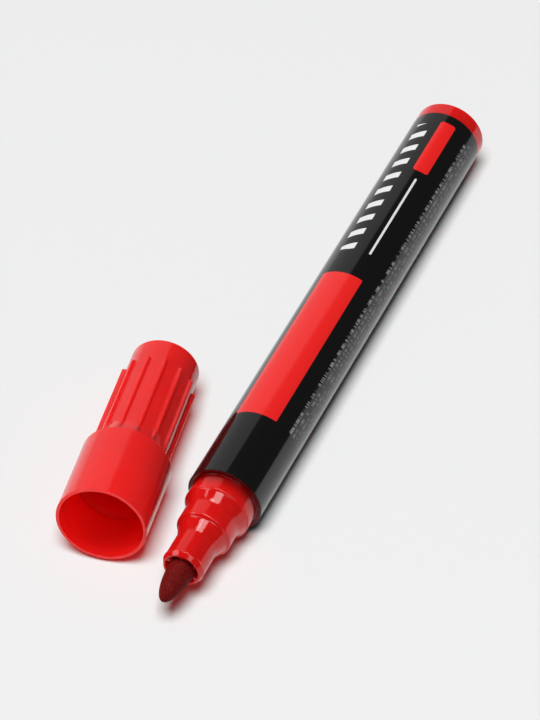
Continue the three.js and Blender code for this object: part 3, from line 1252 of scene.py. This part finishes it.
@dataclass
class TailPlug(Piece):
    """The plug in the barrel's tail: a flush head, a snap spigot and crossed fins."""

    name = "tail_plug_moulding"
    node = "tail_plug"
    slot = Slot.PLUG

    plastic = MouldedPlastic(
        "red_plug_moulding", (0.70, 0.009, 0.008, 1.0), (0.67, 0.008, 0.007, 1.0), roughness=0.10, milky=0.8
    )
    barrel_length: float = Film.length
    head_radius: float = 6.95
    head: float = 3.34
    edge: float = 0.5
    back_edge: float = 0.06
    spigot: float = 7.0
    spigot_radius: float = 5.76
    spigot_bore: float = 4.76
    spigot_edge: float = 0.08
    floor: float = 1.5
    floor_fillet: float = 0.4
    chamfer: float = 0.4
    snap: SnapRing = SnapRing()
    gate: Gate = Gate()
    fin_thickness: float = 1.0
    fin_reach: float = 1.2
    fin_gap: float = 0.3
    fin_bevel: float = 0.08

    def corners(self) -> list[Corner]:
        """The outline from the spigot's floor over its front and the head to the gate's dimple.

        Returns:
            The corners in that order.
        """
        end = self.barrel_length + self.head
        front = self.barrel_length - self.spigot
        floor = end - self.floor
        return [
            Corner(floor, 0.0),
            Corner(floor, self.spigot_bore, self.floor_fillet),
            Corner(front, self.spigot_bore, self.spigot_edge),
            Corner(front, self.spigot_radius - self.chamfer, self.spigot_edge),
            Corner(front + self.chamfer, self.spigot_radius, SOFT),
            *self.snap.corners(self.barrel_length - self.snap.station, self.spigot_radius),
            Corner(self.barrel_length, self.spigot_radius, SOFT),
            Corner(self.barrel_length, self.head_radius, self.back_edge),
            Corner(end, self.head_radius, self.edge),
            *self.gate.corners(end),
        ]

    def fin(self, turned: bool) -> Object:
        """One upright plate across the spigot's bore, or the one that lies across it.

        A plate starts in front of the spigot and ends a third of the floor's thickness deep in it.

        Args:
            turned: Whether it is the one that lies across.

        Returns:
            The plate.
        """
        front = self.barrel_length - self.spigot - self.fin_reach
        back = self.barrel_length + self.head - self.floor * 2 / 3
        reach = self.spigot_bore - self.fin_gap
        sides = np.array([[-1, -1], [1, -1], [1, 1], [-1, 1]]) * [self.fin_thickness / 2, reach]
        if turned:
            sides = sides[:, ::-1]
        station = np.repeat([front, back], 4)
        across = np.tile(sides, (2, 1))
        points = self.axis.points(station, np.hypot(*across.T), np.arctan2(across[:, 1], across[:, 0]))
        walls = [[side, (side + 1) % 4, (side + 1) % 4 + 4, side + 4] for side in range(4)]
        plate = build_mesh("fin", points, np.array([[3, 2, 1, 0], [4, 5, 6, 7], *walls]), [])
        bevel = plate.modifiers.new("edges", "BEVEL")
        bevel.width = self.fin_bevel * MM
        bevel.segments = 2
        return plate

    def mesh(self) -> Object:
        """Builds the turned plug with its fins fused to it.

        Returns:
            The new object.
        """
        plug = super().mesh()
        for plate in (self.fin(False), self.fin(True)):
            fuse(plug, plate)
        return plug


def fuse(base: Object, addition: Object) -> None:
    """Joins one closed mesh to another and drops it.

    Args:
        base: The object that gets the union of both.
        addition: The object that is joined and dropped.
    """
    union = base.modifiers.new("fused", "BOOLEAN")
    union.operation = "UNION"
    union.solver = "EXACT"
    union.object = addition
    evaluated = base.evaluated_get(bpy.context.evaluated_depsgraph_get())
    fused = bpy.data.meshes.new_from_object(evaluated)
    base.modifiers.clear()
    base.data = fused
    bpy.data.objects.remove(addition)


@dataclass
class Cap(Piece):
    """The push-on cap: a wide skirt, a cone and a slim body with grip ribs."""

    name = "ribbed_cap"
    node = "cap"
    slot = Slot.CAP
    body = Body.CAP

    plastic = MouldedPlastic(
        "red_cap_moulding_painted_light",
        (0.71, 0.018, 0.017, 1.0),
        (0.68, 0.017, 0.016, 1.0),
        roughness=0.09,
        # Painted light: a brighter red laid on the rim and in the open front.
        painted_light_and_shade=(1.0, 0.015, 0.014, 1.0),
        milky=1.0,
    )
    length: float = 43.0
    mount_height: float = 4.0
    mouth_radius: float = 8.19
    mouth_bore: float = 7.38
    mouth_edge: float = 0.1
    mouth_lead: float = 1.6
    mouth_flare: float = 0.2
    # Radii and stations of the painted light on the rim and in the open front.
    painted_light_rim_band: Pair = (0.02, 0.14)
    painted_light_front_band: Pair = (15.5, 14.5)
    ring_station: float = 16.4
    ring_radius: float = 8.23
    ring_edge: float = 0.17
    ring_run: float = 1.0
    ring_fillet: float = 0.6
    shoulder_station: float = 16.9
    shoulder_radius: float = 7.2
    shoulder_run: float = 0.2
    shoulder_drop: float = 0.25
    fillet: float = 0.3
    wall: float = 1.06
    cone_length: float = 3.8
    cone_fillet: float = 3.0
    slim_radius: float = 6.5
    end_radius: float = 6.41
    end_edge: float = 0.5
    end_wall: float = 1.2
    gate: Gate = Gate()
    grip_count: int = 13
    grip_width: float = 0.72
    grip_tip_radius: float = 7.09
    grip_end: float = 37.6
    grip_flank: float = 0.4
    grip_stations: Triple = (-0.7, 0.25, 0.06)
    grip_places: tuple[float, ...] = (0, 0.08, 0.15, 0.21, 0.27, 0.33, 0.39, 0.45, 0.51, 0.57, 0.75, 1.05)

    def corners(self) -> list[Corner]:
        """The outline from the floor of the bore over the mouth to the dimple in the end.

        The stations gather where the grip ribs end.

        Returns:
            The corners.
        """
        floor = self.length - self.end_wall
        bore_step = self.shoulder_station - self.shoulder_run
        cone_end = self.ring_station + self.cone_length
        slope = (self.end_radius - self.slim_radius) / (self.length - cone_end)
        before, past, step = self.grip_stations
        fine = np.arange(self.grip_end + before, self.grip_end + past, step)
        return [
            Corner(floor, 0.0),
            Corner(floor, self.end_radius - self.wall, self.end_edge),
            Corner(cone_end, self.slim_radius - self.wall, self.cone_fillet),
            Corner(bore_step, self.shoulder_radius - self.shoulder_drop, self.fillet),
            Corner(self.ring_station - self.ring_run, self.ring_radius - self.wall, self.ring_fillet),
            Corner(self.mouth_lead, self.mouth_bore, self.fillet),
            Corner(0.0, self.mouth_bore + self.mouth_flare, self.mouth_edge),
            Corner(0.0, self.mouth_radius, self.mouth_edge),
            Corner(self.ring_station, self.ring_radius, self.ring_edge),
            Corner(self.shoulder_station, self.shoulder_radius, self.fillet),
            Corner(cone_end, self.slim_radius, self.cone_fillet),
            *(Corner(station, self.slim_radius + slope * (station - cone_end)) for station in fine),
            Corner(self.length, self.end_radius, self.end_edge),
            *self.gate.corners(self.length),
        ]

    def angles(self) -> np.ndarray:
        """Angles that gather at the flanks of the ribs."""
        offsets = [*np.arcsin(np.array(self.grip_places) / self.grip_tip_radius), math.pi / self.grip_count]
        return clustered_turn(self.grip_count, offsets, -math.pi / 2)

    def relief(self, station: np.ndarray, radius: np.ndarray, angle: np.ndarray) -> np.ndarray:
        """Lets the grip ribs stand out of the slim body, one of them straight down.

        A rib's plan is a bar with a half-round end. Its wall rises where the distance inside that
        plan goes from minus to plus half the flank's width, up to a flat top. The bore's wall has
        smaller radii and stays as it is.

        Args:
            station: Stations of the grid.
            radius: Radii of the outline.
            angle: Angles of the grid.

        Returns:
            The new radii.
        """
        pitch = math.tau / self.grip_count
        offset = (angle + math.pi / 2 + pitch / 2) % pitch - pitch / 2
        half = self.grip_width / 2
        past = np.maximum(station - (self.grip_end - half), 0.0)
        inside = half - np.hypot(self.grip_tip_radius * np.sin(offset), past)
        rise = ease(inside / self.grip_flank + 0.5)
        top = self.grip_tip_radius / np.cos(offset)
        behind = station > self.shoulder_station + self.shoulder_run
        outside = behind & (radius > self.slim_radius - self.wall / 4)
        return np.where(outside, radius + np.maximum(top - radius, 0.0) * rise, radius)

    def laid_down(self) -> "Cap":
        """Turns the axis about the ring's lowest point until the lowest rib's end is down too.

        The axis's slope is the difference of the ring's and the ribs' radii over the length
        between them.

        Returns:
            The same cap.
        """
        lowest = (np.array(value) for value in (self.ring_station, self.ring_radius, -math.pi / 2))
        x, y, _ = self.axis.points(*lowest)
        between = self.grip_end - self.grip_width / 2 - self.ring_station
        slope = math.atan2(self.ring_radius - self.grip_tip_radius, between)
        level = Vector((self.axis.along.x, self.axis.along.y, 0.0)).normalized()
        along = level * math.cos(slope) - UP * math.sin(slope)
        up = UP * math.cos(slope) + level * math.sin(slope)
        start = Vector((x, y, 0.0)) + (up * self.ring_radius - along * self.ring_station) * MM
        self.axis = Axis(start, along, up)
        return self

    def finish(self) -> Material:
        """The red plastic, with painted light on the rim and in the open front."""
        return self.plastic.material(self.inside)

    def inside(self, recipe: Recipe) -> Signal:
        """How far a point has painted light, on the rim and in the open front, which stands in for the light
        that the translucent walls let through and bounce to each other.

        Args:
            recipe: The nodes of the cap.

        Returns:
            0 elsewhere, and 1 in the middle of that band.
        """
        station, distance = recipe.place_round(self.axis)
        outer, inner = self.painted_light_rim_band
        # Painted light on the rim face and in the bore, but not on the outside.
        rim = distance.ramp(self.mouth_radius - outer, self.mouth_radius - inner)
        return rim * station.ramp(*self.painted_light_front_band)


@dataclass
class CapLiner(Piece):
    """The inner cup that seals on the nozzle's collar."""

    name = "cap_liner_cup"
    node = "cap_liner"
    slot = Slot.LINER
    body = Body.CAP

    # Painted light: the liner's red is brighter than the cap's own, standing in for the light that the
    # translucent walls let through and bounce inside the cap.
    plastic = MouldedPlastic(
        "red_liner_moulding_painted_light",
        (0.99, 0.008, 0.007, 1.0),
        (0.96, 0.007, 0.006, 1.0),
        roughness=0.5,
        milky=1.0,
        gloss=0.05,
    )
    steps: int = 160
    station: float = 9.17
    flange_thickness: float = 1.1
    flange_radius: float = 7.22
    seal_radius: float = 6.17
    wall: float = 0.7
    lead_in: float = 0.75
    dome: float = 1.5
    cone_start: float = 16.4
    cone_end: float = 20.2
    cone_fillet: float = 0.5
    slim_radius: float = 5.05
    floor: float = 37.27

    def corners(self) -> list[Corner]:
        """The outline from the floor inside, over the front step, to the closed end outside."""
        skirt = self.seal_radius + self.wall
        return [
            Corner(self.floor, 0.0),
            Corner(self.floor, self.slim_radius - self.wall, self.dome),
            Corner(self.cone_end, self.slim_radius - self.wall, self.dome),
            Corner(self.cone_start, self.seal_radius, self.dome),
            Corner(self.station + self.lead_in, self.seal_radius, SOFT),
            Corner(self.station, self.seal_radius + self.lead_in, SOFT),
            Corner(self.station, self.flange_radius, CRISP),
            Corner(self.station + self.flange_thickness, self.flange_radius, CRISP),
            Corner(self.station + self.flange_thickness, skirt, SOFT),
            Corner(self.cone_start, skirt, self.cone_fillet),
            Corner(self.cone_end, self.slim_radius, self.cone_fillet),
            Corner(self.floor + self.wall, self.slim_radius, self.dome),
            Corner(self.floor + self.wall, 0.0),
        ]


def direction(azimuth: float, elevation: float) -> Vector:
    """The direction of an azimuth and an elevation in degrees.

    Args:
        azimuth: The angle round the vertical, from the x axis.
        elevation: The angle over the level.

    Returns:
        The unit vector: the level part by the cosine of the elevation, the height by its sine.
    """
    azimuth, elevation = math.radians(azimuth), math.radians(elevation)
    level = math.cos(elevation)
    return Vector((level * math.cos(azimuth), level * math.sin(azimuth), math.sin(elevation)))


@dataclass(frozen=True)
class Softbox:
    """An even panel of light, placed by where it is seen from the middle of the set."""

    name: str
    azimuth: float
    elevation: float
    distance: float
    width: float
    height: float
    radiance: float
    target: Target
    back: Pair | None = None
    colour: Triple = (1.0, 1.0, 1.0)
    through: Passes = Passes.NONE

    def build(self, lit: dict[Target, Collection], dense: dict[Passes, Collection]) -> None:
        """Hangs the panel.

        Its power is pi times its radiance and its area. Its back points away from the middle of
        the set, or along the azimuth and elevation in back. A light that goes through pieces is
        the red share that their walls let pass: only the dense pieces stop it, and no gloss
        shows it.

        Args:
            lit: What the light falls on, for each target.
            dense: The pieces that stop a light, for each kind that goes through some.
        """
        light = bpy.data.lights.new(self.name, "AREA")
        light.shape = "RECTANGLE"
        light.size, light.size_y = self.width, self.height
        light.energy = self.radiance * math.pi * self.width * self.height
        light.color = self.colour
        panel = add_object(self.name, light)
        panel.location = direction(self.azimuth, self.elevation) * self.distance
        behind = direction(*(self.back or (self.azimuth, self.elevation)))
        panel.rotation_euler = behind.to_track_quat("Z", "Y").to_euler()
        panel.light_linking.receiver_collection = lit[self.target]
        if self.through is not Passes.NONE:
            panel.light_linking.blocker_collection = dense[self.through]
            panel.visible_glossy = False
        LOG.info("%s: radiance %.2f", self.name, self.radiance)


def table_panel(name: str, colour: Triple, through: Passes = Passes.NONE) -> Softbox:
    """The panel over the table, in one colour and with what it goes through."""
    return Softbox(name, -166.0, 69.5, 6.0, 2.6, 2.6, 31.8, Target.FLOOR, None, colour, through)


@dataclass(frozen=True)
class Studio:
    """The pale floor, the soft light round it and the picture's camera."""

    floor_radius: float = 4.0
    floor_sides: int = 96
    surround: float = 0.06
    boxes: tuple[Softbox, ...] = (
        Softbox("backdrop", 22.2, 31.1, 2.73, 3.2, 2.82, 0.5, Target.OBJECT, (62.0, 0.0)),
        Softbox("left_side", 112.0, 38.0, 2.6, 1.5, 1.5, 3.1, Target.OBJECT),
        Softbox("right_front", -135.0, 50.0, 2.6, 1.4, 1.4, 2.1, Target.OBJECT),
        Softbox("overhead", 0.0, 87.0, 3.0, 1.4, 1.75, 6.0, Target.OBJECT),
        Softbox("overhead_core", 50.0, 72.0, 2.9, 0.7, 1.1, 6.0, Target.OBJECT, (0.0, 77.0)),
        table_panel("table_light", (0.575, 1.0, 1.0)),
        table_panel("red_on_table", (0.30, 0.0, 0.0), Passes.CAP),
        table_panel("dim_red_on_table", (0.12, 0.0, 0.0), Passes.REDS),
        Softbox("red_in_cap", 0.0, 80.0, 3.0, 1.4, 1.4, 3.3, Target.CAP, None, (1, 0.02, 0.02), Passes.CAP),
    )
    look_at: Triple = (0.757, -1.790, 0.0)
    distance: float = 630.854
    heading: float = 23.842
    elevation: float = 44.039
    roll: float = -0.4262
    lens: float = 170.12
    sensor: float = 36.0
    clip: Pair = (0.01, 20.0)

    def build(self, cap: Sequence[Object], front: Sequence[Object]) -> None:
        """Builds the whole set round the pieces that are there.

        Args:
            cap: The pieces of the cap, which let red light through.
            front: The red pieces in front of the barrel, which let a little through.
        """
        pieces = [piece for piece in bpy.context.scene.objects if piece.type == "MESH"]
        lit = {
            Target.OBJECT: self._group("lit_object", pieces),
            Target.CAP: self._group("lit_cap", cap),
            Target.FLOOR: self._group("lit_floor", [self._floor()]),
        }
        dense = {
            Passes.CAP: self._group("all_but_cap", [piece for piece in pieces if piece not in cap]),
            Passes.REDS: self._group("dense", [piece for piece in pieces if piece not in (*cap, *front)]),
        }
        self._surround()
        for box in self.boxes:
            box.build(lit, dense)
        self._camera()

    @staticmethod
    def _group(name: str, members: Sequence[Object]) -> Collection:
        """A collection of these objects, for the lights that they are lit or passed by.

        Args:
            name: The collection's name.
            members: The objects in it.

        Returns:
            The collection.
        """
        group = bpy.data.collections.new(name)
        for member in members:
            group.objects.link(member)
        return group

    def _floor(self) -> Object:
        """A round sheet of paper under the object.

        Returns:
            The sheet.
        """
        angles = even_turn(self.floor_sides)
        rim = np.stack([np.cos(angles), np.sin(angles), np.zeros_like(angles)], 1) * self.floor_radius
        mesh = bpy.data.meshes.new("floor")
        mesh.from_pydata(rim.tolist(), [], [list(range(len(rim)))])
        mesh.materials.append(StudioFloor().material())
        floor = add_object("floor", mesh)
        return floor

    def _surround(self) -> None:
        """Even dim light from all sides."""
        world = bpy.data.worlds.new("surround")
        world.use_nodes = True
        background = world.node_tree.nodes["Background"]
        background.inputs["Color"].default_value = grey(self.surround)
        bpy.context.scene.world = world

    def _camera(self) -> None:
        """Aims the camera along its heading and down by its elevation, with a slight roll."""
        heading, roll = math.radians(self.heading), math.radians(self.roll)
        forward = direction(self.heading, -self.elevation)
        level = Vector((math.sin(heading), -math.cos(heading), 0.0))
        right = level * math.cos(roll) + level.cross(forward) * math.sin(roll)
        data = bpy.data.cameras.new("camera")
        data.lens, data.sensor_width = self.lens, self.sensor
        data.clip_start, data.clip_end = self.clip
        camera = add_object("camera", data)
        turn = Matrix((right, right.cross(forward), -forward)).transposed().to_4x4()
        place = (Vector(self.look_at) - forward * self.distance) * MM
        camera.matrix_world = Matrix.Translation(place) @ turn
        bpy.context.scene.camera = camera


def barrel_axis() -> Axis:
    """The marker's axis, from the front rim of the film.

    Returns:
        The axis, which runs along x in the middle of the film's box.
    """
    low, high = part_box("barrel_film")
    middle = (low + high) / 2
    return Axis(Vector((low.x, middle.y, middle.z)), Vector((1.0, 0.0, 0.0)), UP)


def cap_axis(record: dict, length: float, offset: float) -> Axis:
    """The cap's axis, from its mouth.

    Args:
        record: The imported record, whose mount on the cap's end gives a point and the direction.
        length: The cap's length.
        offset: How far that point lies above the axis.

    Returns:
        The axis.
    """
    mount = next(mount for mount in record["mounts"] if mount["name"] == "cap_end_face")
    along = Vector(mount["axis"]).normalized()
    up = (UP - along * UP.dot(along)).normalized()
    end = Vector(mount["pos_m"]) - up * offset * MM
    return Axis(end - along * length * MM, along, up)


def main() -> None:
    """Builds the marker, the cap and the studio in order."""
    logging.basicConfig(level=logging.INFO, format="%(name)s: %(message)s")
    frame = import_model()
    bpy.context.scene.view_settings.view_transform = "Standard"

    axis = barrel_axis()
    Film(axis).build()
    front = [Nozzle(axis).build(), Nib(axis).build()]
    Inside().build(frame["nodes"])
    TailPlug(axis).build()
    cap = Cap(cap_axis(frame["record"], Cap.length, Cap.mount_height)).laid_down()
    Studio().build([cap.build(), CapLiner(cap.axis).build()], front)


if __name__ == "__main__":
    main()
